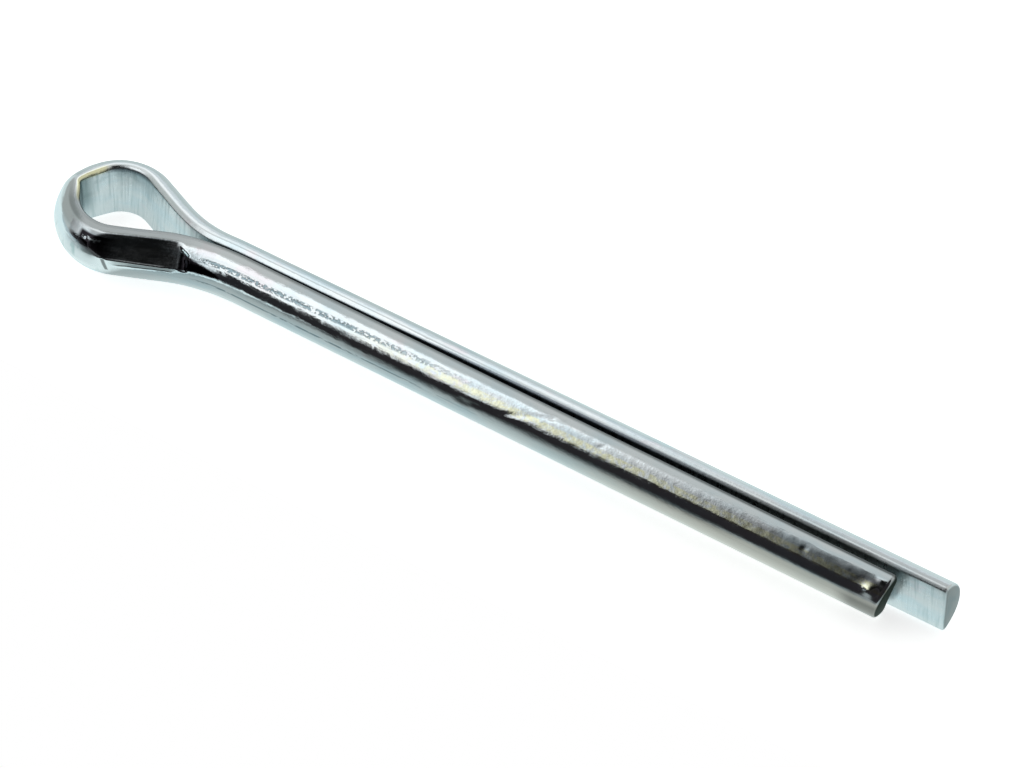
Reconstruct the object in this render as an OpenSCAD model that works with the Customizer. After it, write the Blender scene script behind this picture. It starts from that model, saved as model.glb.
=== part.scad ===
// Cotter pin (split pin) with one prong longer than the other.
// One half-round wire is bent into an eye and doubled back on itself, so that the two
// flats face each other and the legs together make a round shank.
// The pin lies on its side: +X runs along the shank to the tips, the eye is at -X, the
// short leg is on -Y and +Z is up. The origin is on the shank's axis, at the place where
// the short leg leaves the bend at the neck.

/* [Wire] */
// Diameter of the closed shank, which is the diameter of the half-round wire
shank_d = 3.8; // [2:0.1:6]
// Radius of the two rounded corners of the half-round wire
corner_r = 0.28; // [0.1:0.02:0.5]

/* [Legs] */
// Length of the short leg, from the neck to the middle of its end
short_leg = 46; // [15:1:100]
// How far the long leg reaches past the short one
leg_extra = 3.4; // [1:0.1:8]
// Gap between the flats at the neck
neck_gap = 0.1; // [0.04:0.02:0.6]
// Gap between the flats at the end of the short leg
tip_gap = 0.42; // [0.1:0.02:1]
// Slant of the short leg's sheared end, longer at the top
short_tip_slant = 13; // [0:1:30]
// Slant of the long leg's sheared end, longer at the top
long_tip_slant = 2; // [0:1:30]

/* [Eye, on the short leg's side] */
// Inner radius of the eye
short_eye_r = 2.55; // [1.6:0.05:5]
// Slope of the eye's flank to the shank
short_flank_angle = 22; // [14:1:28]
// Inner radius of the bend at the neck
short_neck_r = 13.6; // [6:0.2:18]

/* [Eye, on the long leg's side] */
// Inner radius of the eye
long_eye_r = 2.25; // [1.6:0.05:5]
// Slope of the eye's flank to the shank
long_flank_angle = 24; // [14:1:28]
// Inner radius of the bend at the neck
long_neck_r = 11.3; // [6:0.2:18]

/* [Press mark] */
// Depth of the flat that the forming tool pressed into the short leg's flank
press_depth = 0.24; // [0.1:0.02:0.5]
// How far the pressed flat faces up
press_tilt = 38; // [10:1:60]

/* [Hidden] */
$fn = 96;
wire_r = shank_d / 2;
// slope of each leg away from the shank's axis
spread = atan((tip_gap - neck_gap) / 2 / short_leg);
// each flat stands this far outside its wire's centre line, which puts the centre lines
// of both legs on the shank's axis at mid-length
flat_set = (neck_gap + tip_gap) / 4;
// part of the flank's length that the pressed flat covers
press_share = 0.85;
// longer than any bend is wide
reach = 2 * (max(short_eye_r, long_eye_r, short_neck_r, long_neck_r) + shank_d);

// The nearest angle whose sine and cosine are both whole in millionths, so that pieces
// that are turned one after another still meet face to face.
one = 1e6;
tries = 60;
function true_turn(angle) =
  let (
    near = round(one * cos(angle)),
    misses = [
      for (k = [-tries:tries])
        let (sine = sqrt(max(0, one * one - pow(near + k, 2)))) abs(sine - round(sine))
    ],
    best = near + search(min(misses), misses)[0] - tries
  ) atan2(round(sqrt(one * one - best * best)), best);

// The wire leaves the eye's nose square to the shank, runs round the eye to a straight
// flank, and turns back at the neck into the leg.
function eye_turn(flank) = true_turn(90 + flank);
function neck_turn(flank) = true_turn(flank + spread);
function slope(flank) = eye_turn(flank) - 90;
function splay(flank) = neck_turn(flank) - slope(flank);
function neck_rise(flank, neck_r) =
  neck_gap / 2 + neck_r * (cos(splay(flank)) - cos(slope(flank)));
function flank_length(eye_r, flank, neck_r) =
  (eye_r * cos(slope(flank)) - neck_rise(flank, neck_r)) / sin(slope(flank));
function eye_length(eye_r, flank, neck_r) =
  eye_r * (1 + sin(slope(flank)))
  + flank_length(eye_r, flank, neck_r) * cos(slope(flank))
  + neck_r * (sin(splay(flank)) + sin(slope(flank)));

short_eye_length = eye_length(short_eye_r, short_flank_angle, short_neck_r);
long_eye_length = eye_length(long_eye_r, long_flank_angle, long_neck_r);
long_leg = short_leg + leg_extra + short_eye_length - long_eye_length;

// Half-round section: the flat on x = 0, bulging to +x, with its two corners rounded
module section() {
  corner_y = sqrt(pow(wire_r - corner_r, 2) - pow(corner_r + flat_set, 2));
  outward = wire_r / (wire_r - corner_r);
  rim_x = (corner_r + flat_set) * outward - flat_set;
  rim_y = corner_y * outward;
  difference() {
    intersection() {
      translate([-flat_set, 0]) circle(wire_r);
      translate([0, -wire_r]) square([wire_r, shank_d]);
    }
    for (side = [-1, 1])
      difference() {
        polygon([
          [-corner_r, side * corner_y],
          [corner_r, side * corner_y],
          [rim_x, side * rim_y],
          [rim_x, side * shank_d],
          [-corner_r, side * shank_d]
        ]);
        translate([corner_r, side * corner_y]) circle(corner_r);
      }
  }
}

// Everything on the +x side of the yz plane, and everything on the -x side
module ahead() translate([0, -reach, -reach]) cube([reach, 2 * reach, 2 * reach]);
module behind() mirror([1, 0, 0]) ahead();

// Lengths of wire: each starts at the origin and runs along +x, with its flat on y = 0
// and its round side to +y. The turned lengths bend towards the flat or away from it.
module straight(length) rotate([90, 0, 90]) linear_extrude(length) section();

module bend_in(r, turn)
  translate([0, -r]) intersection() {
    rotate([0, 0, 180]) rotate_extrude() translate([r, 0]) section();
    ahead();
    rotate([0, 0, -turn]) behind();
  }

module bend_out(r, turn)
  translate([0, r]) intersection() {
    rotate([0, 0, 180]) rotate_extrude() translate([r, 0]) mirror([1, 0]) section();
    ahead();
    rotate([0, 0, turn]) behind();
  }

module after_bend_in(r, turn)
  translate([0, -r]) rotate([0, 0, -turn]) translate([0, r]) children();

module after_bend_out(r, turn)
  translate([0, r]) rotate([0, 0, turn]) translate([0, -r]) children();

// A straight leg whose end is sheared on a slant, with its length measured on the axis
module leg(length, slant)
  difference() {
    straight(length + shank_d);
    translate([length, 0]) rotate([0, true_turn(slant), 0]) ahead();
  }

// What the forming tool takes off the round side of a flank: the cut is deepest at the
// eye and runs out before the neck
module press_cut(flank_len) {
  run = flank_len * press_share;
  translate([run, -flat_set]) rotate([true_turn(press_tilt), 0, 0])
    translate([0, wire_r]) rotate([0, 0, true_turn(atan(press_depth / run))])
      translate([-reach, 0, -reach]) cube([reach + flank_len - run, reach, 2 * reach]);
}

// One side of the pin from the nose to the tip, starting at the origin and heading +x
module half(eye_r, flank, neck_r, leg_length, slant, pressed) {
  flank_len = flank_length(eye_r, flank, neck_r);
  difference() {
    union() {
      bend_in(eye_r, eye_turn(flank));
      after_bend_in(eye_r, eye_turn(flank)) {
        straight(flank_len);
        translate([flank_len, 0]) {
          bend_out(neck_r, neck_turn(flank));
          after_bend_out(neck_r, neck_turn(flank)) leg(leg_length, slant);
        }
      }
    }
    if (pressed) after_bend_in(eye_r, eye_turn(flank)) press_cut(flank_len);
  }
}

module cotter_pin() color("silver")
  translate([-short_eye_length, 0]) {
    mirror([0, 1]) rotate([0, 0, 90])
      half(short_eye_r, short_flank_angle, short_neck_r, short_leg, short_tip_slant, true);
    rotate([0, 0, 90])
      half(long_eye_r, long_flank_angle, long_neck_r, long_leg, long_tip_slant, false);
  }

cotter_pin();
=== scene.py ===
import math
import random

import bmesh
import bpy
from mathutils import Matrix, Vector, noise


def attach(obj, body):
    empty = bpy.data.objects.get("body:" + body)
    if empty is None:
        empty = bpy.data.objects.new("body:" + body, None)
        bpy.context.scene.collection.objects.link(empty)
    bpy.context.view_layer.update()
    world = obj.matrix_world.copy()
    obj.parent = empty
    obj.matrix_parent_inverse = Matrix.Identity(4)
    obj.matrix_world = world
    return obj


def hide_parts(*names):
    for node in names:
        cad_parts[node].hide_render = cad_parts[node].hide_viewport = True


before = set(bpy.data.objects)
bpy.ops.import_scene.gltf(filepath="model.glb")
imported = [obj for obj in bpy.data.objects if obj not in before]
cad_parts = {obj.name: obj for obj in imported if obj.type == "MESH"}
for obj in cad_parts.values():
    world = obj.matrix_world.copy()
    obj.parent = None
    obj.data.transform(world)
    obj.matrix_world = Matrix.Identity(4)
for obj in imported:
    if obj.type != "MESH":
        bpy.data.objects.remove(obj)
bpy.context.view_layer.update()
print("frame loaded")


# The wire, in millimetres: a half-round section, bent round the eye and back on itself.
# Each side runs from the nose round the eye, down a straight flank, through the neck
# bend and along its leg. s is the way along the flat from the nose, negative on the
# short leg's side; u points out from the flat and w points up.
wire = {
    "radius": 1.9,
    "flatSet": 0.13,  # how far the flat stands off the round's centre
    "corner": 0.28,
    "noseX": -11.924,
    "neckGap": 0.1,
    "opening": 0.16,  # how far each leg leans out over the short leg's length
    "openingOver": 46,
    "flatSteps": 12,
    "cornerSteps": 6,
    "arcSteps": 70,
    "stride": 1.2,
    "eyeStretch": 1.4,  # the eye's round side is this much longer than its flat
    "cuts": 7,
    "tipRun": 0.6,
}
sides = {
    "short": {
        "toward": -1,
        "eyeR": 2.55,
        "flank": math.radians(22),
        "neckR": 13.6,
        "legEnd": 46.0,
        "slant": 13.0,
    },
    "long": {
        "toward": 1,
        "eyeR": 2.25,
        "flank": math.radians(24),
        "neckR": 11.3,
        "legEnd": 49.4,
        "slant": 2.0,
    },
}
spread = math.atan(wire["opening"] / wire["openingOver"])
cornerUp = math.sqrt((wire["radius"] - wire["corner"]) ** 2 - (wire["corner"] + wire["flatSet"]) ** 2)
up = Vector((0, 0, 1))


# How the real bend leaves the plain path: (s, shift outwards) of the flat and of the
# round side, and (s, turn in degrees) of the section about its top edge
innerShift = [
    (-15, 0), (-12, -0.03), (-10, -0.11), (-8.5, -0.14), (-6.5, -0.03), (-4, 0.03), (-2, 0), (-1.2, 0.02),
    (-0.75, 0.12), (-0.3, 0.31), (0.1, 0.16), (0.6, -0.02), (1.2, -0.07), (2, 0), (5, 0), (7.5, -0.04),
    (10, -0.14), (12, -0.02), (15, 0),
]
outerShift = [
    (-15, 0), (-12, -0.02), (-9, -0.04), (-6, 0), (-4.4, 0), (-2.5, -0.1), (-1, -0.06), (0, 0), (2, 0),
    (6, 0), (9, -0.05), (12, 0), (15, 0),
]
sectionTurn = [(-3, 0), (0, 3), (2, 6), (6, 6.5), (9, 3), (12, 0)]


# A smooth curve through a table's points, level beyond both ends
def smoothAt(table, s):
    if s <= table[0][0]:
        return table[0][1]
    for k in range(len(table) - 1):
        (a, x), (b, y) = table[k], table[k + 1]
        if s <= b:
            before = table[k - 1] if k else table[k]
            after = table[k + 2] if k + 2 < len(table) else table[k + 1]
            m = (y - before[1]) / (b - before[0]) * (b - a)
            n = (after[1] - x) / (after[0] - a) * (b - a)
            t = (s - a) / (b - a)
            h = t * t * (3 - 2 * t)
            return x + (y - x) * h + m * t * (1 - t) ** 2 - n * t * t * (1 - t)
    return table[-1][1]


# Section points, from the middle of the flat round the wire and back: (out, up)
def sectionPoints():
    r, c, a = wire["radius"], wire["corner"], wire["flatSet"]
    turn = math.atan2(cornerUp, c + a)
    half = []
    for i in range(wire["flatSteps"] // 2):
        half.append((0, cornerUp * i / (wire["flatSteps"] / 2)))
    for i in range(wire["cornerSteps"]):
        t = math.pi + (turn - math.pi) * i / wire["cornerSteps"]
        half.append((c + c * math.cos(t), cornerUp + c * math.sin(t)))
    for i in range(wire["arcSteps"] // 2):
        t = turn * (1 - i / (wire["arcSteps"] / 2))
        half.append((r * math.cos(t) - a, r * math.sin(t)))
    return half + [(r - a, 0)] + [(u, -w) for u, w in reversed(half[1:])]


# Each side's runs, with the place, outward direction and s where each one starts
def layRuns(side):
    f, toward = side["flank"], side["toward"]
    rise = wire["neckGap"] / 2 + side["neckR"] * (math.cos(spread) - math.cos(f))
    flankLength = (side["eyeR"] * math.cos(f) - rise) / math.sin(f)
    eyeLength = (
        side["eyeR"] * (1 + math.sin(f))
        + flankLength * math.cos(f)
        + side["neckR"] * (math.sin(spread) + math.sin(f))
    )
    legLength = (side["legEnd"] - wire["noseX"] - eyeLength) / math.cos(spread)
    at, out, s = Vector((wire["noseX"], 0, 0)), Vector((-1, 0, 0)), 0
    side["runs"] = []
    for kind, size, turn in (
        ("bend", side["eyeR"], math.pi / 2 + f),
        ("straight", flankLength, 0),
        ("bend", -side["neckR"], f + spread),
        ("straight", legLength - wire["tipRun"], 0),
        ("straight", wire["tipRun"], 0),
    ):
        along = Vector((out.y * toward, -out.x * toward, 0))
        length = size if kind == "straight" else abs(size) * turn
        run = dict(kind=kind, size=size, turn=turn, at=at, out=out, along=along, start=s, length=length)
        run["angle"] = -toward * math.copysign(turn, size)
        run["centre"] = at - out * size
        side["runs"].append(run)
        at, out = placeInRun(run, length)
        s += length
    side["end"] = s


def placeInRun(run, way):
    if run["kind"] == "straight":
        return run["at"] + run["along"] * way, run["out"]
    turned = Matrix.Rotation(run["angle"] * way / run["length"], 3, "Z")
    return run["centre"] + turned @ (run["at"] - run["centre"]), turned @ run["out"]


def sideOf(s):
    return sides["short"] if s < 0 else sides["long"]


def frameAt(s):
    way = abs(s)
    run = [r for r in sideOf(s)["runs"] if r["start"] <= way + 1e-6][-1]
    at, out = placeInRun(run, way - run["start"])
    return at, out, Vector((out.y, -out.x, 0)) * sideOf(s)["toward"]


for side in sides.values():
    layRuns(side)

# The section is drawn as a ring at the nose and swept both ways along the runs. Every
# point keeps its own s, u and w, which the shaping and the material read
points = sectionPoints()
bm = bmesh.new()
place = bm.verts.layers.float_vector.new("wirePlace")
made = bmesh.ops.create_circle(bm, segments=len(points), radius=wire["radius"])
ring = sorted(made["verts"], key=lambda v: math.atan2(v.co.y, v.co.x) % (2 * math.pi))
for v, (u, w) in zip(ring, points):
    v.co = (wire["noseX"] - u, 0, w)
    v[place] = (0, u, w)
firstEdges = bm.edges[:]
for side in sides.values():
    edges = firstEdges
    for run in side["runs"]:
        inEye = run["kind"] == "bend" and run["size"] > 0
        rim = run["length"] * (wire["eyeStretch"] if inEye else 1)
        steps = max(1, round(rim / wire["stride"]))
        before = len(bm.verts)
        if run["kind"] == "straight":
            how = dict(cent=run["at"], dvec=run["along"] * (run["length"] / steps), angle=0)
        else:
            how = dict(cent=run["centre"], angle=run["angle"])
        got = bmesh.ops.spin(bm, geom=edges, axis=up, steps=steps, **how)
        edges = [g for g in got["geom_last"] if isinstance(g, bmesh.types.BMEdge)]
        bm.verts.ensure_lookup_table()
        for i, v in enumerate(bm.verts[before:]):
            s = run["start"] + run["length"] * (i // len(points) + 1) / steps
            v[place] = (s * side["toward"], v[place].y, v[place].z)
    bmesh.ops.contextual_create(bm, geom=edges)
lengthwise = [e for e in bm.edges if abs(e.verts[0][place].x - e.verts[1][place].x) > 1e-6]
bmesh.ops.subdivide_edges(bm, edges=lengthwise, cuts=wire["cuts"], use_grid_fill=True)
print("wire swept", len(bm.verts), "points")


# The flat that the forming tool pressed into the round side of the short leg's flank: one
# plane along the flank, between a lower and an upper edge in degrees. It runs out on the
# eye's arc and stops at a slanting, slightly wavy step before the neck
press = {
    "lower": 14,
    "upper": [(-9.9, 65), (-6.8, 65), (-5.2, 63), (-4.3, 61)],
    "stop": (-9.25, 62),  # s and angle of the step's upper end
    "stopSlant": 0.034,  # millimetres along per degree round
    "slantTo": 42,
    "step": 0.24,
    "wave": 0.12,
    "waveRate": 0.1,
    "from": -3.4,
}
# The thin ridge that it pushed up under the flat
burr = {
    "height": 0.05,
    "width": 0.07,
    "crest": 0.6,
    "lean": (0.97, 0.24),
    "from": -8.9,
    "to": -4.4,
    "ease": (0.5, 0.3),
    "below": 1.2,
}
flank = sides["short"]["runs"][1]


def pressed(s, u, w):
    angle = math.degrees(math.atan2(w, u + wire["flatSet"]))
    stopS, stopAngle = press["stop"]
    slanted = stopAngle - max(angle, press["slantTo"])
    wave = press["wave"] * noise.noise(Vector((angle * press["waveRate"], 0, 3)))
    past = stopS - slanted * press["stopSlant"] + wave - s
    if past > press["step"] or s > press["from"]:
        return u, w
    low, high = math.radians(press["lower"]), math.radians(smoothAt(press["upper"], s))
    bend, turned = 0, 1
    if not flank["start"] <= -s <= flank["start"] + flank["length"]:
        at, out, along = frameAt(s)
        bend, turned = (at - flank["at"]).dot(flank["out"]), out.dot(flank["out"])
    tilt, half = (low + high) / 2, (high - low) / 2
    du, dw = math.cos(tilt), math.sin(tilt)
    level = wire["radius"] * math.cos(half)
    over = (u * turned + wire["flatSet"] + bend) * du + w * dw - level
    fade = max(0, past) / press["step"]
    over *= 1 - fade * fade * (3 - 2 * fade)
    if over > 0:
        return u - over * du, w - over * dw
    if burr["from"] < s < burr["to"] and w < burr["below"]:
        below = -over / math.sin(half)
        lift = burr["height"] * math.exp(-((below / burr["width"] - burr["crest"]) ** 2))
        lift *= min(1, (s - burr["from"]) / burr["ease"][0], (burr["to"] - s) / burr["ease"][1])
        return u + lift * burr["lean"][0], w + lift * burr["lean"][1]
    return u, w


# The long leg's upper slit edge is broken towards the eye: (s, depth), facing angle
edgeBreak = {
    "depth": [(2, 0), (4, 0.03), (12, 0.05), (22, 0.05), (26, 0.018), (32, 0.008), (60, 0.003)],
    "angle": 125,
    "from": 2,
    "within": 1,
}


def edgeBroken(s, u, w):
    corner, facing = wire["corner"], math.radians(edgeBreak["angle"])
    du, dw = math.cos(facing), math.sin(facing)
    over = (u - corner) * du + (w - cornerUp) * dw - corner + smoothAt(edgeBreak["depth"], s)
    if over > 0 and s > edgeBreak["from"] and u < edgeBreak["within"]:
        return u - over * du, w - over * dw
    return u, w


# Wear on the round side. Angles go up from straight outwards, in degrees
wearLook = {
    "ripples": [(0.005, 1.1), (0.006, 2.9)],  # depth, how many to the millimetre
    "rippleStretch": 0.8,
    "strength": [
        (-60, 0.6), (-40, 0.6), (-30, 0.8), (-22, 1.2), (-10, 1.2), (-4, 1), (0, 0.9), (10, 0.6), (62, 0.5),
    ],
    "from": 0.15,
    "fullOver": 0.1,
}
# Scuffs and nicks: (s, angle) to (s, angle), width, depth. A nib stands up, so its depth
# is below zero
scuffs = [
    ((-5.6, 3), (-9, 6.5), 0.09, 0.03),
    ((-4.82, 12), (-5.0, -15), 0.08, 0.035),
    ((-9, 6.5), (-9.5, 12), 0.08, 0.03),
    ((-30.9, 16), (-30.3, 18), 0.2, 0.022),
    ((-31.1, 20), (-33.2, 25), 0.16, 0.014),
    ((-33.2, 27), (-36.6, 64), 0.16, 0.018),
    ((-36.3, 57), (-36.5, 60), 0.09, 0.02),
    ((-37.1, 64), (-37.3, 67), 0.09, 0.016),
    ((-39.9, 52), (-40.1, 55), 0.10, 0.018),
    ((-23.0, 1), (-17.5, 4), 0.06, 0.006),
    ((-29.5, -4), (-27.5, 2), 0.10, 0.010),
    ((-54.3, 49), (-54.35, 51), 0.16, 0.016),
    ((-58.9, 35), (-58.98, 34.5), 0.34, -0.11),
    ((-59.2, 60), (-59.24, 59), 0.2, -0.03),
]
# Small dents at random places on both sides
dents = {
    "seed": 11,
    "count": 90,
    "along": (2, 61),
    "around": (-60, 75),
    "size": (0.06, 0.16),
    "run": 0.4,
    "swing": 4,
    "depth": 0.05,
}
random.seed(dents["seed"])
for k in range(dents["count"]):
    s = random.choice((-1, 1)) * random.uniform(*dents["along"])
    angle = random.uniform(*dents["around"])
    size = random.uniform(*dents["size"])
    run, swing = random.uniform(-dents["run"], dents["run"]), random.uniform(-dents["swing"], dents["swing"])
    scuffs.append(((s, angle), (s + run, angle + swing), size, size * dents["depth"]))


def wear(s, angle):
    around = wire["radius"] * angle
    spot = Vector((s * wearLook["rippleStretch"], around, 0))
    lift = sum(depth * noise.noise(spot * rate) for depth, rate in wearLook["ripples"])
    lift *= smoothAt(wearLook["strength"], s)
    for (s0, a0), (s1, a1), width, depth in scuffs:
        if min(s0, s1) - 1 < s < max(s0, s1) + 1:
            start = Vector((s0, wire["radius"] * math.radians(a0)))
            line = Vector((s1, wire["radius"] * math.radians(a1))) - start
            here = Vector((s, around)) - start
            t = min(1, max(0, here.dot(line) / line.length_squared))
            lift -= depth * math.exp(-(((here - line * t).length / width) ** 2))
    return lift


# The sheared tips: the slant eases in, and the rim is rounded about a point inside
tips = {"slantOver": 6, "round": 0.22, "middle": 0.8, "reach": 1.2}


def mould(s, u, w):
    at, out, along = frameAt(s)
    side = sideOf(s)
    if u > wearLook["from"]:
        angle = math.atan2(w, u + wire["flatSet"])
        lift = wear(s, angle) * min(1, (u - wearLook["from"]) / wearLook["fullOver"])
        u, w = u + lift * math.cos(angle), w + lift * math.sin(angle)
    u, w = edgeBroken(s, *pressed(s, u, w))
    crest = wire["radius"] - wire["flatSet"]
    inner, outer = smoothAt(innerShift, s), smoothAt(outerShift, s)
    u = inner + u * (crest + outer - inner) / crest
    turn = math.radians(smoothAt(sectionTurn, s))
    du, dw = u, w - wire["radius"]
    u = du * math.cos(turn) + dw * math.sin(turn)
    w = dw * math.cos(turn) - du * math.sin(turn) + wire["radius"]
    left = side["end"] - abs(s)
    forward = 0
    if left < tips["slantOver"]:
        ease = (1 - left / tips["slantOver"]) ** 2
        forward = w * math.tan(math.radians(side["slant"])) * ease
    if left < tips["round"]:
        t = 1 - left / tips["round"]
        inset = tips["round"] * (1 - math.sqrt(max(0, 1 - t * t)))
        size = 1 - inset / tips["reach"]
        u = tips["middle"] + (u - tips["middle"]) * size
        w *= size
    return at + out * u + up * w + along * forward


def linkMesh(name, built):
    mesh = bpy.data.meshes.new(name)
    built.to_mesh(mesh)
    built.free()
    piece = bpy.data.objects.new(name, mesh)
    bpy.context.collection.objects.link(piece)
    return piece


for v in bm.verts:
    v.co = mould(*v[place])
bmesh.ops.recalc_face_normals(bm, faces=bm.faces[:])
bmesh.ops.scale(bm, vec=(0.001,) * 3, verts=bm.verts[:])
pin = linkMesh("cotterPinWire", bm)
pin.data.shade_smooth()
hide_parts("cotter_pin")
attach(pin, "root")
print("wire shaped,", sum(len(p.vertices) - 2 for p in pin.data.polygons), "triangles")


# Node helpers that the materials and the world share
def addMath(tree, operation, *values):
    node = tree.nodes.new("ShaderNodeMath")
    node.operation = operation
    for socket, value in zip(node.inputs, values):
        if isinstance(value, (int, float)):
            socket.default_value = value
        else:
            tree.links.new(value, socket)
    return node.outputs[0]


def addAll(tree, first, *others):
    for other in others:
        first = addMath(tree, "MULTIPLY", first, other)
    return first


def addMost(tree, first, *others):
    for other in others:
        first = addMath(tree, "MAXIMUM", first, other)
    return first


def addRange(tree, value, low, high, toLow=0, toHigh=1):
    node = tree.nodes.new("ShaderNodeMapRange")
    node.interpolation_type = "SMOOTHSTEP"
    for key, number in (("From Min", low), ("From Max", high), ("To Min", toLow), ("To Max", toHigh)):
        node.inputs[key].default_value = number
    tree.links.new(value, node.inputs["Value"])
    return node.outputs[0]


def addMix(tree, kind, share, a, b):
    node = tree.nodes.new("ShaderNodeMix")
    node.data_type = kind
    for key, value in (("Factor", share), ("A", a), ("B", b)):
        if isinstance(value, (tuple, int, float)):
            node.inputs[key].default_value = value
        else:
            tree.links.new(value, node.inputs[key])
    return node.outputs["Result"]


# A run of grey levels, given as (where, level)
def addLevels(tree, value, stops, low, high, ease="EASE"):
    node = tree.nodes.new("ShaderNodeValToRGB")
    node.color_ramp.interpolation = ease
    while len(node.color_ramp.elements) < len(stops):
        node.color_ramp.elements.new(0.5)
    for element, (where, level) in zip(node.color_ramp.elements, stops):
        element.position = (where - low) / (high - low)
        element.color = (level, level, level, 1)
    tree.links.new(value, node.inputs[0])
    return node.outputs[0]


# Bright zinc over drawn wire: fine draw lines along the wire, grain and small pits, satin
# flats with marks across them, painted shade beside the slit and in the creases and hollows,
# painted dark reflections on the pressed flat, and faint pink and yellow-green stains
zincLook = {
    "plain": (0.78, 0.84, 0.86, 1),
    "cool": (0.68, 0.80, 0.85, 1),
    "pink": (0.84, 0.70, 0.75, 1),
    "lime": (0.85, 0.87, 0.62, 1),
    "rim": (1.0, 1.0, 0.62, 1),
    # painted shade for the slit between the legs and under the eye's far rim
    "gapShade": (0.16, 0.19, 0.23, 1),
    "cutEnd": (0.05, 0.07, 0.055, 1),
    # painted shade for the crease under the pressed flat and its tick
    "creaseShade": (0.10, 0.11, 0.11, 1),
    # painted shade for strips beside the slit edge, along the short leg's top, under the pressed flat and on
    # the nose top
    "paintedShade": (0.16, 0.18, 0.18, 1),
    "streak": (0.46, 0.60, 0.61, 1),
    "fleck": (0.20, 0.30, 0.34, 1),
    "slitEnd": (0.40, 0.43, 0.43, 1),
    # near black, painted as the dark reflection on the pressed flat
    "darkReflection": (0.022, 0.02, 0.024, 1),
    # painted shade for the short tip's lower side
    "tipUnderShade": (0.30, 0.29, 0.27, 1),
    "warm": (0.86, 0.79, 0.70, 1),
    # dark patches high on the eye's inner wall, and painted shade in its fold by the nose
    "eyeWallDark": (0.17, 0.25, 0.26, 1),
    "flatTo": (0.1, 0.0),
    "roundRough": (0.06, 0.15),
    "flatRough": (0.24, 0.40),
    "cornerRough": 0.36,
    "longTipRough": 0.62,
    "noseRough": 0.5,
    "cutRough": 0.75,
}
# Depth of each pattern in the surface, in metres
zincRelief = {
    "drawLines": 0.003e-3,
    "lumps": 0.008e-3,
    "grain": 0.004e-3,
    "flecks": -0.014e-3,
    "crossMarks": 0.012e-3,
}
# Noise by name: stretch and shift along, out and up, scale, detail
zincNoise = {
    "drawLines": ((0.1, 1, 1), (0, 0, 0), 9, 2),
    "lumps": ((0.8, 1, 1), (0, 0, 0), 3.4, 2),
    "grain": ((0.8, 1, 1), (0, 0, 0), 9, 3),
    "crossMarks": ((1, 1, 0.07), (3, 0, 0), 5, 3),
    "flecks": ((0.7, 1, 1), (5, 5, 5), 6.5, 3),
    "longFlecks": ((0.22, 1, 1), (5, 5, 5), 6, 2),
    "dashes": ((1, 0, 0), (3, 3, 3), 1.6, 3),
    "polish": ((0.3, 1, 1), (0, 0, 0), 3, 3),
    "cloud": ((0.3, 1, 1), (0, 0, 0), 0.9, 4),
    "speckle": ((0.7, 1, 1), (2, 6, 1), 3.2, 4),
    "pink": ((0.5, 1, 1), (7, 2, 0), 0.55, 3),
    "noseStreaks": ((1.3, 1, 0.12), (4, 0, 8), 3, 3),
    "creaseWander": ((1, 0, 0), (0, 0, 0), 2, 2),
    "wedgeFlecks": ((1, 1, 1), (1, 8, 2), 7, 2),
    "ragged": ((1, 1, 1), (9, 0, 0), 3, 3),
    "eyeWallDark": ((0.6, 1, 0.6), (6, 1, 2), 1.1, 3),
}
noiseRough = 0.55
zinc = bpy.data.materials.new("zincPlate")
zinc.use_nodes = True
zn, zl = zinc.node_tree.nodes, zinc.node_tree.links
shader = zn["Principled BSDF"]
shader.inputs["Metallic"].default_value = 1
wireAttribute = zn.new("ShaderNodeAttribute")
wireAttribute.attribute_name = "wirePlace"
wirePlace = wireAttribute.outputs["Vector"]
wireSplit = zn.new("ShaderNodeSeparateXYZ")
zl.new(wirePlace, wireSplit.inputs[0])
alongWire, outFromFlat, upWire = wireSplit.outputs


def zMath(operation, *values):
    return addMath(zinc.node_tree, operation, *values)


def zAll(*shares):
    return addAll(zinc.node_tree, *shares)


def zMost(*shares):
    return addMost(zinc.node_tree, *shares)


def zRange(value, *fromAndTo):
    return addRange(zinc.node_tree, value, *fromAndTo)


def zBand(value, a, b, soft):
    return zAll(zRange(value, a - soft, a + soft), zRange(value, b + soft, b - soft))


# The same in degrees; zAngle is a range, zDegrees a band round the wire
def zAngle(value, *degrees):
    return zRange(value, *(math.radians(d) for d in degrees))


def zDegrees(a, b, soft):
    return zBand(aroundWire, *(math.radians(d) for d in (a, b, soft)))


# A patch of the round side, from a band along the wire and one round it
def zPatch(along, around):
    return zAll(zBand(alongWire, *along), zDegrees(*around))


# The angle round the wire, or a start in radians, turned as it goes along
def zTilted(perMillimetre, start=None):
    return zMath("MULTIPLY_ADD", alongWire, math.radians(perMillimetre), start or aroundWire)


def zNoise(name):
    stretch, shift, scale, detail = zincNoise[name]
    mapping = zn.new("ShaderNodeMapping")
    mapping.inputs["Scale"].default_value = stretch
    mapping.inputs["Location"].default_value = shift
    zl.new(wirePlace, mapping.inputs["Vector"])
    node = zn.new("ShaderNodeTexNoise")
    for key, number in (("Scale", scale), ("Detail", detail), ("Roughness", noiseRough)):
        node.inputs[key].default_value = number
    zl.new(mapping.outputs[0], node.inputs["Vector"])
    return node.outputs["Fac"]


aroundWire = zMath("ARCTAN2", upWire, zMath("ADD", outFromFlat, wire["flatSet"]))
awayFromNose = zMath("ABSOLUTE", alongWire)
onFlat = zRange(outFromFlat, *zincLook["flatTo"])
crossMarks = zNoise("crossMarks")

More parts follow.
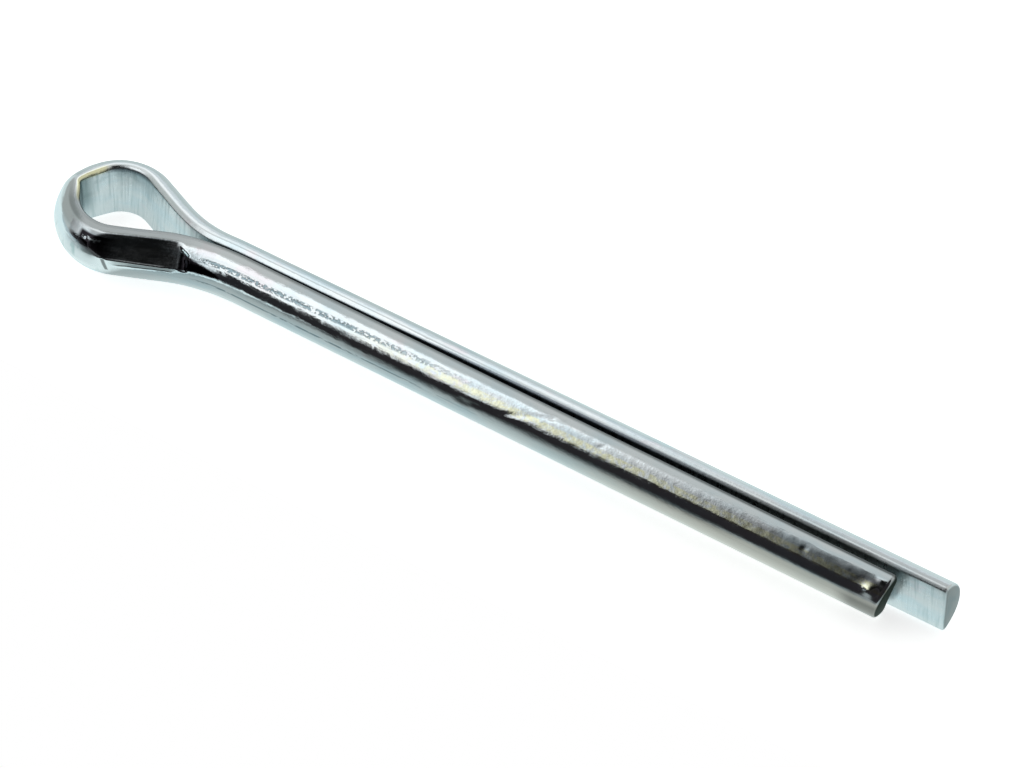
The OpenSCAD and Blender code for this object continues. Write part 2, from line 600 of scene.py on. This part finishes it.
# Rows of flecks along the short leg's round side: fades along, bands in degrees
fleckRows = {
    "farEnd": (-35, -20),
    "nearEnd": (-10, -12),
    "upper": (33, 42, 1.8),
    "upperTilt": 0.5,
    "upperCut": (0.47, 0.56),
    "lower": (-1, 2.5, 1.2),
    "lowerCut": (0.38, 0.5),
    "dashed": (44, 47.5, 1),
    "dashedCut": (0.46, 0.52),
    "dashedFrom": (-26, -22),
    "share": 0.85,
}
upperBand = zBand(zTilted(fleckRows["upperTilt"]), *(math.radians(d) for d in fleckRows["upper"]))
upperRow = zAll(zRange(zNoise("flecks"), *fleckRows["upperCut"]), upperBand)
lowerRow = zAll(zRange(zNoise("longFlecks"), *fleckRows["lowerCut"]), zDegrees(*fleckRows["lower"]))
dashedRow = zAll(
    zDegrees(*fleckRows["dashed"]),
    zRange(zNoise("dashes"), *fleckRows["dashedCut"]),
    zRange(alongWire, *fleckRows["dashedFrom"]),
)
fleckRun = zAll(zRange(alongWire, *fleckRows["farEnd"]), zRange(alongWire, *fleckRows["nearEnd"]))
fleckShare = zAll(zMost(upperRow, lowerRow, dashedRow), fleckRun)

# The pressed flat and the short leg's tip are smoother than the rest
smoother = {"press": ((-9.5, -4, 0.2), (15, 62, 2)), "pressLess": 0.65, "tip": (-57, -43, 0.25, 1)}
onPress = zPatch(*smoother["press"])
calm = zMath("MULTIPLY_ADD", onPress, -smoother["pressLess"], 1)
calm = zAll(zRange(alongWire, *smoother["tip"]), calm)
height = zAll(zNoise("drawLines"), zincRelief["drawLines"])
height = zMath("MULTIPLY_ADD", zAll(zNoise("lumps"), calm), zincRelief["lumps"], height)
height = zMath("MULTIPLY_ADD", zAll(zNoise("grain"), calm), zincRelief["grain"], height)
height = zMath("MULTIPLY_ADD", fleckShare, zincRelief["flecks"], height)
height = zMath("MULTIPLY_ADD", zAll(crossMarks, onFlat), zincRelief["crossMarks"], height)
bump = zn.new("ShaderNodeBump")
bump.inputs["Strength"].default_value = 1
bump.inputs["Distance"].default_value = 1
zl.new(height, bump.inputs["Height"])
zl.new(bump.outputs[0], shader.inputs["Normal"])

# Roughness: bright rounds, satin flats, worn corners and sheared ends
worn = {
    "patternCut": (0.3, 0.7),
    "cornerOut": (0.22, 0.08),
    "cornerUp": (1.35, 1.5),
    "longLeg": (26, 40),
    "longTip": (55, 59),
    "shortLeg": (-2, -4, 0.2, 0.7),
    "nose": ((-4.6, -3.0, 0.3), (-10, 27, 4)),
    "noseShare": 0.8,
    "ends": (0.1, 0.02),
}


def roughen(rough, share, to):
    return addMix(zinc.node_tree, "FLOAT", share, rough, to)


onCorner = zAll(zRange(outFromFlat, *worn["cornerOut"]), zRange(zMath("ABSOLUTE", upWire), *worn["cornerUp"]))
cornerShare = zMost(zRange(alongWire, *worn["longLeg"]), zRange(alongWire, *worn["shortLeg"]))
shortEnd = zRange(alongWire, *(inset - sides["short"]["end"] for inset in worn["ends"]))
longEnd = zRange(alongWire, *(sides["long"]["end"] - inset for inset in worn["ends"]))
rough = zRange(zNoise("polish"), *worn["patternCut"], *zincLook["roundRough"])
rough = roughen(rough, zAll(onCorner, cornerShare), zincLook["cornerRough"])
rough = roughen(rough, zAll(onCorner, zRange(alongWire, *worn["longTip"])), zincLook["longTipRough"])
rough = roughen(rough, zAll(zPatch(*worn["nose"]), worn["noseShare"]), zincLook["noseRough"])
rough = roughen(rough, onFlat, zRange(crossMarks, *worn["patternCut"], *zincLook["flatRough"]))
rough = roughen(rough, zMath("ADD", shortEnd, longEnd), zincLook["cutRough"])
zl.new(rough, shader.inputs["Roughness"])


# Each stain goes over what is there, by its share and its strength
def stain(under, share, strength, tone):
    tone = zincLook[tone] if isinstance(tone, str) else tone
    return addMix(zinc.node_tree, "RGBA", zAll(share, strength) if strength < 1 else share, under, tone)


# Tints of the plating: noise cuts, bands and strengths
tints = {
    "coolCut": (0.4, 0.7),
    "pinkCut": (0.58, 0.72),
    "pink": 0.35,
    "limeCut": (0.3, 0.62),
    "limeBand": (34, 49, 2),
    "limeFrom": (-19, -34),
    "lime": 0.9,
    "rimUp": (1.5, 1.62),
    "rimOut": (0.32, 0.14),
    "rimBand": (-1.9, 1.5, 0.3),
    "rim": 0.85,
    "streakCut": (0.52, 0.68),
    "streak": 0.4,
    "noseCut": (0.5, 0.64),
    "nosePatch": ((-4.6, -1.6, 0.4), (-40, 20, 8)),
    "nose": 0.8,
}
limeShare = zAll(
    zRange(zNoise("speckle"), *tints["limeCut"]),
    zDegrees(*tints["limeBand"]),
    zRange(alongWire, *tints["limeFrom"]),
)
topRim = zAll(zRange(upWire, *tints["rimUp"]), zRange(outFromFlat, *tints["rimOut"]))
colour = zincLook["plain"]
colour = stain(colour, zRange(zNoise("cloud"), *tints["coolCut"]), 1, "cool")
colour = stain(colour, zRange(zNoise("pink"), *tints["pinkCut"]), tints["pink"], "pink")
colour = stain(colour, limeShare, tints["lime"], "lime")
# The eye's top rim gets a yellow tint that is brighter than the plain zinc, so it is partly a real tint and
# partly a painted highlight along the rim
colour = stain(colour, zAll(zBand(alongWire, *tints["rimBand"]), topRim), tints["rim"], "rim")
colour = stain(colour, zAll(zRange(crossMarks, *tints["streakCut"]), onFlat), tints["streak"], "streak")
noseStreaks = zAll(zPatch(*tints["nosePatch"]), zRange(zNoise("noseStreaks"), *tints["noseCut"]))
colour = stain(colour, noseStreaks, tints["nose"], "streak")

# Painted shade: the crease under the pressed flat and its tick are painted dark, and the strip above the crease
# is painted darker
creaseShadeLook = {
    "tilt": 1,
    "wander": 0.05,
    "band": (-4, -1.4, 0.6),
    "along": (-9.1, -5.5, 0.3),
    "tickLean": -0.38,
    "tickShade": (-4.97, -4.83, 0.03),
    "tickAround": (-14, 13, 2),
    "tickShare": 0.8,
    "shadeFrom": (-3, -1),
    "shadeTo": (13.5, 12.5),
    "shadeAlong": (-9.1, -5.3, 0.3),
    "paintedShade": 0.45,
}
wander = zAll(zMath("SUBTRACT", zNoise("creaseWander"), 0.5), creaseShadeLook["wander"])
creaseAngle = zMath("ADD", zTilted(creaseShadeLook["tilt"]), wander)
creaseShade = zBand(creaseAngle, *(math.radians(d) for d in creaseShadeLook["band"]))
creaseShade = zAll(creaseShade, zBand(alongWire, *creaseShadeLook["along"]))
tickShade = zBand(zMath("MULTIPLY_ADD", aroundWire, creaseShadeLook["tickLean"], alongWire), *creaseShadeLook["tickShade"])
tickShade = zAll(tickShade, zDegrees(*creaseShadeLook["tickAround"]), creaseShadeLook["tickShare"])
underPress = zAll(
    zAngle(creaseAngle, *creaseShadeLook["shadeFrom"]),
    zAngle(aroundWire, *creaseShadeLook["shadeTo"]),
    zBand(alongWire, *creaseShadeLook["shadeAlong"]),
)
colour = stain(colour, underPress, creaseShadeLook["paintedShade"], "paintedShade")
colour = stain(colour, zMost(creaseShade, tickShade), 1, "creaseShade")
colour = stain(colour, fleckShare, fleckRows["share"], "fleck")

# Painted shade strips: beside the short leg's slit edge, and along the top of its round side
shadeStrips = {
    "edgeOut": (0.42, 0.24),
    "edgeFrom": (-0.5, -2),
    "edgeShare": (-9, -13, 0.6, 0.95),
    "topBand": (63.5, 80, 2.5),
    "topFrom": (-0.4, -2),
    "topShare": (-8, -12, 0.5, 0.32),
}
slitEdge = zAll(
    zRange(outFromFlat, *shadeStrips["edgeOut"]),
    zRange(alongWire, *shadeStrips["edgeFrom"]),
    zRange(alongWire, *shadeStrips["edgeShare"]),
)
nearTop = zAll(
    zDegrees(*shadeStrips["topBand"]),
    zRange(alongWire, *shadeStrips["topFrom"]),
    zRange(alongWire, *shadeStrips["topShare"]),
)
colour = stain(colour, slitEdge, 1, "paintedShade")
colour = stain(colour, nearTop, 1, "paintedShade")

# Painted dark reflection, near black: on the flat, in a wedge past its step, and in a ragged fan where it runs
# out
darkReflectionLook = {
    "press": 0.6,
    "wedgeFar": (-6.8, -4.6),
    "wedgeNear": (-3.54, -3.74),
    "wedgeTilt": -20.5,
    "wedgeCorner": (-3.68, 38),
    "wedgeSoft": 0.05,
    "wedgeLow": (12, 16),
    "wedgeHigh": (58, 52),
    "fleckCut": (0.45, 0.55),
    "fleckPatch": ((-4.6, -3.85, 0.1), (40, 47, 1.5)),
    "ragged": 0.14,
    "fanHighTilt": -7.5,
    "fanHigh": (120.5, 116),
    "fanLowTilt": 2.2,
    "fanLow": (-8.5, -5.5),
    "fanAlong": (-12.6, -9.45, 0.15),
}
cornerS, cornerAngle = darkReflectionLook["wedgeCorner"]
wedgeStart = math.radians(-darkReflectionLook["wedgeTilt"] * cornerS - cornerAngle)
wedgeEdge = zTilted(darkReflectionLook["wedgeTilt"], wedgeStart)
wedgeFlecks = zAll(
    zRange(zNoise("wedgeFlecks"), *darkReflectionLook["fleckCut"]),
    zPatch(*darkReflectionLook["fleckPatch"]),
)
wedge = zAll(
    zRange(alongWire, *darkReflectionLook["wedgeFar"]),
    zRange(alongWire, *darkReflectionLook["wedgeNear"]),
    zRange(zMath("ADD", aroundWire, wedgeEdge), -darkReflectionLook["wedgeSoft"], darkReflectionLook["wedgeSoft"]),
    zAngle(aroundWire, *darkReflectionLook["wedgeLow"]),
    zAngle(aroundWire, *darkReflectionLook["wedgeHigh"]),
    zMath("SUBTRACT", 1, wedgeFlecks),
)
ragged = zAll(zMath("SUBTRACT", zNoise("ragged"), 0.5), darkReflectionLook["ragged"])
fan = zAll(
    zAngle(zMath("ADD", zTilted(darkReflectionLook["fanHighTilt"]), ragged), *darkReflectionLook["fanHigh"]),
    zAngle(zTilted(darkReflectionLook["fanLowTilt"]), *darkReflectionLook["fanLow"]),
    zBand(alongWire, *darkReflectionLook["fanAlong"]),
)
colour = stain(colour, zMost(zAll(onPress, darkReflectionLook["press"]), wedge, fan), 1, "darkReflection")

# Painted shade in the slit and at the eye's far edge, dark patches and painted fold shade inside the eye,
# painted shade on the nose top and the short tip's lower side, a warm tone, and dark sheared ends
shadeAndToneLook = {
    "noseTop": ((-3.2, 0.2, 0.5), (44, 72, 4)),
    "noseTopShare": 0.3,
    "legs": (11, 14),
    "thinner": (20, 34),
    "thinBy": 0.13,
    "depth": (0.07, -0.05),
    "longEnd": (58.6, 57.6),
    "slit": 0.85,
    "paler": (38, 56),
    "eyeUp": (1.3, 1.62),
    "eyeOut": (0.06, 0.01),
    "eyeAlong": (1.6, 4.5, 0.8),
    "eye": 0.8,
    "eyeWallDarkCut": (0.42, 0.66),
    "eyeWallDarkUp": (0.5, 1.5),
    "eyeWallDarkAlong": (-1, 6, 1),
    "foldAlong": (-2.2, 0.35, 0.45),
    "foldUp": (-1.7, 0.2, 0.1, 1),
    "eyeWallDark": 0.8,
    "warmFrom": (-32, -48),
    "warmAround": (-70, 14, 4),
    "warm": 0.75,
    "tipFrom": (-56.6, -58.2),
    "tipAround": (-60, 8, 8),
    "tip": 0.8,
    "longCut": 0.4,
}
# Painted shade on the top of the nose
colour = stain(colour, zPatch(*shadeAndToneLook["noseTop"]), shadeAndToneLook["noseTopShare"], "paintedShade")
# Dark patches high on the eye's inner wall, and painted shade in the fold by the nose
eyeWallDark = zAll(
    zRange(zNoise("eyeWallDark"), *shadeAndToneLook["eyeWallDarkCut"]),
    zRange(upWire, *shadeAndToneLook["eyeWallDarkUp"]),
    zBand(alongWire, *shadeAndToneLook["eyeWallDarkAlong"]),
)
foldShade = zAll(zBand(alongWire, *shadeAndToneLook["foldAlong"]), zRange(upWire, *shadeAndToneLook["foldUp"]))
colour = stain(colour, zAll(zMost(eyeWallDark, foldShade), onFlat), shadeAndToneLook["eyeWallDark"], "eyeWallDark")
# Painted shade on the flats either side of the slit, paler towards the tips, and along the top edge of the
# eye's inner wall under its rim
slitDepth = zMath("MULTIPLY_ADD", zRange(alongWire, *shadeAndToneLook["thinner"]), -shadeAndToneLook["thinBy"], outFromFlat)
slitShade = zAll(
    zRange(slitDepth, *shadeAndToneLook["depth"]),
    zRange(awayFromNose, *shadeAndToneLook["legs"]),
    zRange(alongWire, *shadeAndToneLook["longEnd"]),
)
eyeEdgeShade = zAll(
    zRange(upWire, *shadeAndToneLook["eyeUp"]),
    zRange(outFromFlat, *shadeAndToneLook["eyeOut"]),
    zBand(alongWire, *shadeAndToneLook["eyeAlong"]),
    shadeAndToneLook["eye"],
)
gapShadeTone = stain(zincLook["gapShade"], zRange(awayFromNose, *shadeAndToneLook["paler"]), 1, "slitEnd")
colour = stain(colour, zMost(slitShade, eyeEdgeShade), shadeAndToneLook["slit"], gapShadeTone)
warmSide = zAll(zRange(alongWire, *shadeAndToneLook["warmFrom"]), zDegrees(*shadeAndToneLook["warmAround"]))
colour = stain(colour, warmSide, shadeAndToneLook["warm"], "warm")
# Painted shade on the short tip's lower side
tipSide = zAll(zRange(alongWire, *shadeAndToneLook["tipFrom"]), zDegrees(*shadeAndToneLook["tipAround"]))
colour = stain(colour, tipSide, shadeAndToneLook["tip"], "tipUnderShade")
colour = stain(colour, zMath("ADD", shortEnd, zAll(longEnd, shadeAndToneLook["longCut"])), 1, "cutEnd")
zl.new(colour, shader.inputs["Base Color"])
pin.data.materials.append(zinc)
print("zinc made")


# A pale sheet that ends just in front of the pin. Reflections see it glow: by its gloss
# levels from front to back, given as (millimetres, level), a little less behind the eye,
# and more in front of both ends and to the left of the eye
sheet = {
    "low": -1.87e-3,
    "frontY": -0.0125,
    "backY": 0.35,
    "halfX": 0.4,
    "colour": (0.84, 0.88, 0.88, 1),
    "rough": 0.9,
    "fill": 0.74,
    "gloss": [
        (-12.5, 0.03), (-10.5, 0.05), (-8.2, 0.09), (-7, 0.15), (-6, 0.24), (-5.2, 0.34), (-4.5, 0.43),
        (-3.9, 0.5), (-3.4, 0.55), (-2.6, 0.62), (-2.2, 0.67), (-1.8, 0.74), (-1.3, 0.83), (0, 0.88),
        (4, 0.86), (10, 0.79), (20, 0.77),
    ],
    "glossSpan": (-12.5, 20),
    "glossTint": (0.88, 0.99, 0.98, 1),
    "behindEye": {"x": (0.022, 0.003), "y": (-0.001, 0.002), "less": 0.2},
    "ends": {"nearX": (0.013, 0.004), "farX": (0.026, 0.036), "y": (-0.0115, -0.0045), "level": 0.5},
    "left": {"lean": 1.2, "reach": (-0.0105, -0.014), "level": 0.98},
}
fb = bmesh.new()
bmesh.ops.create_grid(fb, x_segments=1, y_segments=1, size=1)
for v in fb.verts:
    v.co = (v.co.x * sheet["halfX"], sheet["frontY"] if v.co.y < 0 else sheet["backY"], sheet["low"])
floor = linkMesh("paleSheet", fb)
paper = bpy.data.materials.new("palePaper")
paper.use_nodes = True
paperTree = paper.node_tree
pn, pl = paperTree.nodes, paperTree.links
paperShader = pn["Principled BSDF"]
paperShader.inputs["Base Color"].default_value = sheet["colour"]
paperShader.inputs["Roughness"].default_value = sheet["rough"]
paperShader.inputs["Specular IOR Level"].default_value = 0
paperPlace = pn.new("ShaderNodeTexCoord")
paperSplit = pn.new("ShaderNodeSeparateXYZ")
pl.new(paperPlace.outputs["Object"], paperSplit.inputs[0])
paperX, paperY = paperSplit.outputs[:2]

glossFront, glossBack = sheet["glossSpan"]
reach = addMath(paperTree, "ADD", paperY, -glossFront * 0.001)
reach = addMath(paperTree, "DIVIDE", reach, (glossBack - glossFront) * 0.001)
gloss = addLevels(paperTree, reach, sheet["gloss"], glossFront, glossBack, "LINEAR")
behindEye, ends, left = sheet["behindEye"], sheet["ends"], sheet["left"]
behind = addAll(
    paperTree,
    addRange(paperTree, paperY, *behindEye["y"]),
    addRange(paperTree, paperX, *behindEye["x"]),
    behindEye["less"],
)
endGlow = addAll(
    paperTree,
    addMost(paperTree, addRange(paperTree, paperX, *ends["nearX"]), addRange(paperTree, paperX, *ends["farX"])),
    addRange(paperTree, paperY, *ends["y"]),
    ends["level"],
)
leftReach = addMath(paperTree, "MULTIPLY_ADD", paperY, left["lean"], paperX)
leftGlow = addAll(paperTree, addRange(paperTree, leftReach, *left["reach"]), left["level"])
gloss = addAll(paperTree, gloss, addMath(paperTree, "SUBTRACT", 1, behind))
gloss = addMost(paperTree, gloss, endGlow, leftGlow)

paperPath = pn.new("ShaderNodeLightPath")
paperShine = pn.new("ShaderNodeEmission")
paperShine.inputs["Color"].default_value = sheet["glossTint"]
pl.new(gloss, paperShine.inputs["Strength"])
paperGlow = pn.new("ShaderNodeEmission")
pl.new(addAll(paperTree, paperPath.outputs["Is Camera Ray"], sheet["fill"]), paperGlow.inputs["Strength"])
paperSum = pn.new("ShaderNodeAddShader")
pl.new(paperShader.outputs[0], paperSum.inputs[0])
pl.new(paperGlow.outputs[0], paperSum.inputs[1])
paperPick = pn.new("ShaderNodeMixShader")
pl.new(paperPath.outputs["Is Glossy Ray"], paperPick.inputs[0])
pl.new(paperSum.outputs[0], paperPick.inputs[1])
pl.new(paperShine.outputs[0], paperPick.inputs[2])
pl.new(paperPick.outputs[0], pn["Material Output"].inputs["Surface"])
floor.data.materials.append(paper)
print("sheet made")


# Soft panels, each facing the pin from an angle up from its side (toward, -1 is -Y), with
# levels along X in metres and across from its lower to its upper edge. The key hangs over
# the short leg's side above left, fades towards the tips and has a dimmer bar along its
# middle; its foot is a small patch below it; the rear card lights the long leg's crest
# near the eye
panels = {
    "keyPanel": {
        "toward": -1,
        "distance": 0.095,
        "facing": 48,
        "halfHigh": 0.046,
        "fromX": -0.17,
        "toX": 0.03,
        "along": [
            (-0.17, 0.3), (-0.1, 0.45), (-0.07, 0.75), (-0.05, 1.0), (-0.026, 1.0), (-0.015, 0.64),
            (-0.0075, 0.45), (-0.001, 0.25), (0.004, 0.1), (0.0078, 0.08), (0.0105, 0.012), (0.03, 0.002),
        ],
        "across": [(-1, 0.88), (-0.35, 0.95), (-0.14, 0.88), (0.24, 0.86), (0.45, 0.95), (1, 0.95)],
        "skew": 0.004,
        "strength": 1.3,
    },
    "keyFoot": {
        "toward": -1,
        "distance": 0.095,
        "facing": 16,
        "halfHigh": 0.0105,
        "fromX": -0.037,
        "toX": -0.012,
        "along": [
            (-0.037, 0), (-0.032, 0.14), (-0.028, 0.62), (-0.024, 0.7), (-0.02, 0.45), (-0.016, 0.1),
            (-0.012, 0),
        ],
        "across": [(-1, 0), (-0.2, 0.8), (1, 1)],
        "skew": 0,
        "strength": 1.6,
    },
    "rearCard": {
        "toward": 1,
        "distance": 0.12,
        "facing": 40,
        "halfHigh": 0.06,
        "fromX": -0.17,
        "toX": 0.03,
        "along": [
            (-0.17, 0.4), (-0.1, 0.85), (-0.05, 1), (-0.027, 1), (-0.021, 0.82), (-0.014, 0.72),
            (-0.009, 0.57), (-0.004, 0.52), (0.03, 0.4),
        ],
        "across": [(-1, 0.8), (-0.9, 1), (0.9, 1), (1, 0.8)],
        "skew": 0,
        "strength": 1.08,
    },
}


def makePanel(name, look):
    pb = bmesh.new()
    bmesh.ops.create_grid(pb, x_segments=1, y_segments=1, size=1)
    uvs = pb.loops.layers.uv.new("panel")
    for f in pb.faces:
        for loop in f.loops:
            loop[uvs].uv = (loop.vert.co.x / 2 + 0.5, loop.vert.co.y / 2 + 0.5)
    facing = math.radians(look["facing"])
    for v in pb.verts:
        x = (look["toX"] if v.co.x > 0 else look["fromX"]) + look["skew"] * v.co.y
        h = v.co.y * look["halfHigh"]
        level = look["distance"] * math.cos(facing) - h * math.sin(facing)
        v.co = (x, look["toward"] * level, look["distance"] * math.sin(facing) + h * math.cos(facing))
    panel = linkMesh(name, pb)
    panel.visible_camera = False
    panel.visible_shadow = False
    glow = bpy.data.materials.new(name + "Glow")
    glow.use_nodes = True
    tree = glow.node_tree
    tree.nodes.clear()
    panelUv = tree.nodes.new("ShaderNodeUVMap")
    panelUv.uv_map = "panel"
    panelSplit = tree.nodes.new("ShaderNodeSeparateXYZ")
    tree.links.new(panelUv.outputs[0], panelSplit.inputs[0])
    strength = addAll(
        tree,
        addLevels(tree, panelSplit.outputs["X"], look["along"], look["fromX"], look["toX"]),
        addLevels(tree, panelSplit.outputs["Y"], look["across"], -1, 1),
        look["strength"],
    )
    emission = tree.nodes.new("ShaderNodeEmission")
    tree.links.new(strength, emission.inputs["Strength"])
    tree.links.new(emission.outputs[0], tree.nodes.new("ShaderNodeOutputMaterial").inputs["Surface"])
    panel.data.materials.append(glow)


for name, look in panels.items():
    makePanel(name, look)
print("panels made")


# The tent round the pin, by azimuth (0 faces the short leg, 90 the tips) and elevation in
# degrees: (name, azimuths, elevations, softness of the edges, colour)
tent = {
    "base": (0.585, 0.575, 0.555),
    "lowest": -90,
    "patches": [
        ("leftWall", (-112, -62), (-90, 52), (8, 8), (0.53, 0.55, 0.53)),
        ("backWall", (-182, -118), (-90, 28), (6, 3), (0.72, 0.76, 0.78)),
        ("overhead", (-152, -52), (50, 91), (8, 6), (0.80, 0.80, 0.79)),
        ("darkSide", (-12, 78), (-90, 80), (4, 8), (0.021, 0.019, 0.021)),
        ("darkFront", (-58, -6), (-90, 64), (8, 3), (0.021, 0.019, 0.021)),
        ("leftFront", (-84, -40), (-90, 1), (6, 3), (0.50, 0.58, 0.60)),
    ],
}
world = bpy.data.worlds.new("studio")
bpy.context.scene.world = world
world.use_nodes = True
worldTree = world.node_tree
wn, wl = worldTree.nodes, worldTree.links
wn.clear()
direction = wn.new("ShaderNodeTexCoord")
split = wn.new("ShaderNodeSeparateXYZ")
wl.new(direction.outputs["Generated"], split.inputs[0])
ahead = addMath(worldTree, "MULTIPLY", split.outputs["Y"], -1)
azimuth = addMath(worldTree, "DEGREES", addMath(worldTree, "ARCTAN2", split.outputs["X"], ahead))
elevation = addMath(worldTree, "DEGREES", addMath(worldTree, "ARCSINE", split.outputs["Z"]))
shade = (*tent["base"], 1)
for name, (a0, a1), (e0, e1), (softA, softE), colour in tent["patches"]:
    steps = [(azimuth, a0 - softA, a0 + softA), (azimuth, a1 + softA, a1 - softA)]
    steps.append((elevation, e1 + softE, e1 - softE))
    if e0 > tent["lowest"]:
        steps.append((elevation, e0 - softE, e0 + softE))
    inside = addAll(worldTree, *(addRange(worldTree, *step) for step in steps))
    shade = addMix(worldTree, "RGBA", inside, shade, (*colour, 1))
    shade.node.name = name
studio = wn.new("ShaderNodeBackground")
wl.new(shade, studio.inputs["Color"])
white = wn.new("ShaderNodeBackground")
white.inputs["Color"].default_value = (1, 1, 1, 1)
worldPath = wn.new("ShaderNodeLightPath")
pick = wn.new("ShaderNodeMixShader")
wl.new(worldPath.outputs["Is Camera Ray"], pick.inputs[0])
wl.new(studio.outputs[0], pick.inputs[1])
wl.new(white.outputs[0], pick.inputs[2])
wl.new(pick.outputs[0], wn.new("ShaderNodeOutputWorld").inputs[0])


# The camera looks at the middle of the shank from in front, above and to the right
cameraLook = {
    "target": Vector((0.018123, 0.001426, 0)),
    "toCamera": Vector((0.38855, -0.57583, 0.71934)),
    "distance": 0.57,
    "lens": 336.07,
    "sensor": 36,
    "clip": (0.01, 10),
}
cam = bpy.data.cameras.new("camera")
cam.sensor_width = cameraLook["sensor"]
cam.lens = cameraLook["lens"]
cam.clip_start, cam.clip_end = cameraLook["clip"]
camera = bpy.data.objects.new("camera", cam)
bpy.context.collection.objects.link(camera)
camera.location = cameraLook["target"] + cameraLook["toCamera"] * cameraLook["distance"]
camera.rotation_mode = "QUATERNION"
camera.rotation_quaternion = (-cameraLook["toCamera"]).to_track_quat("-Z", "Y")
bpy.context.scene.camera = camera
bpy.context.scene.view_settings.view_transform = "Standard"
print("camera and light made")
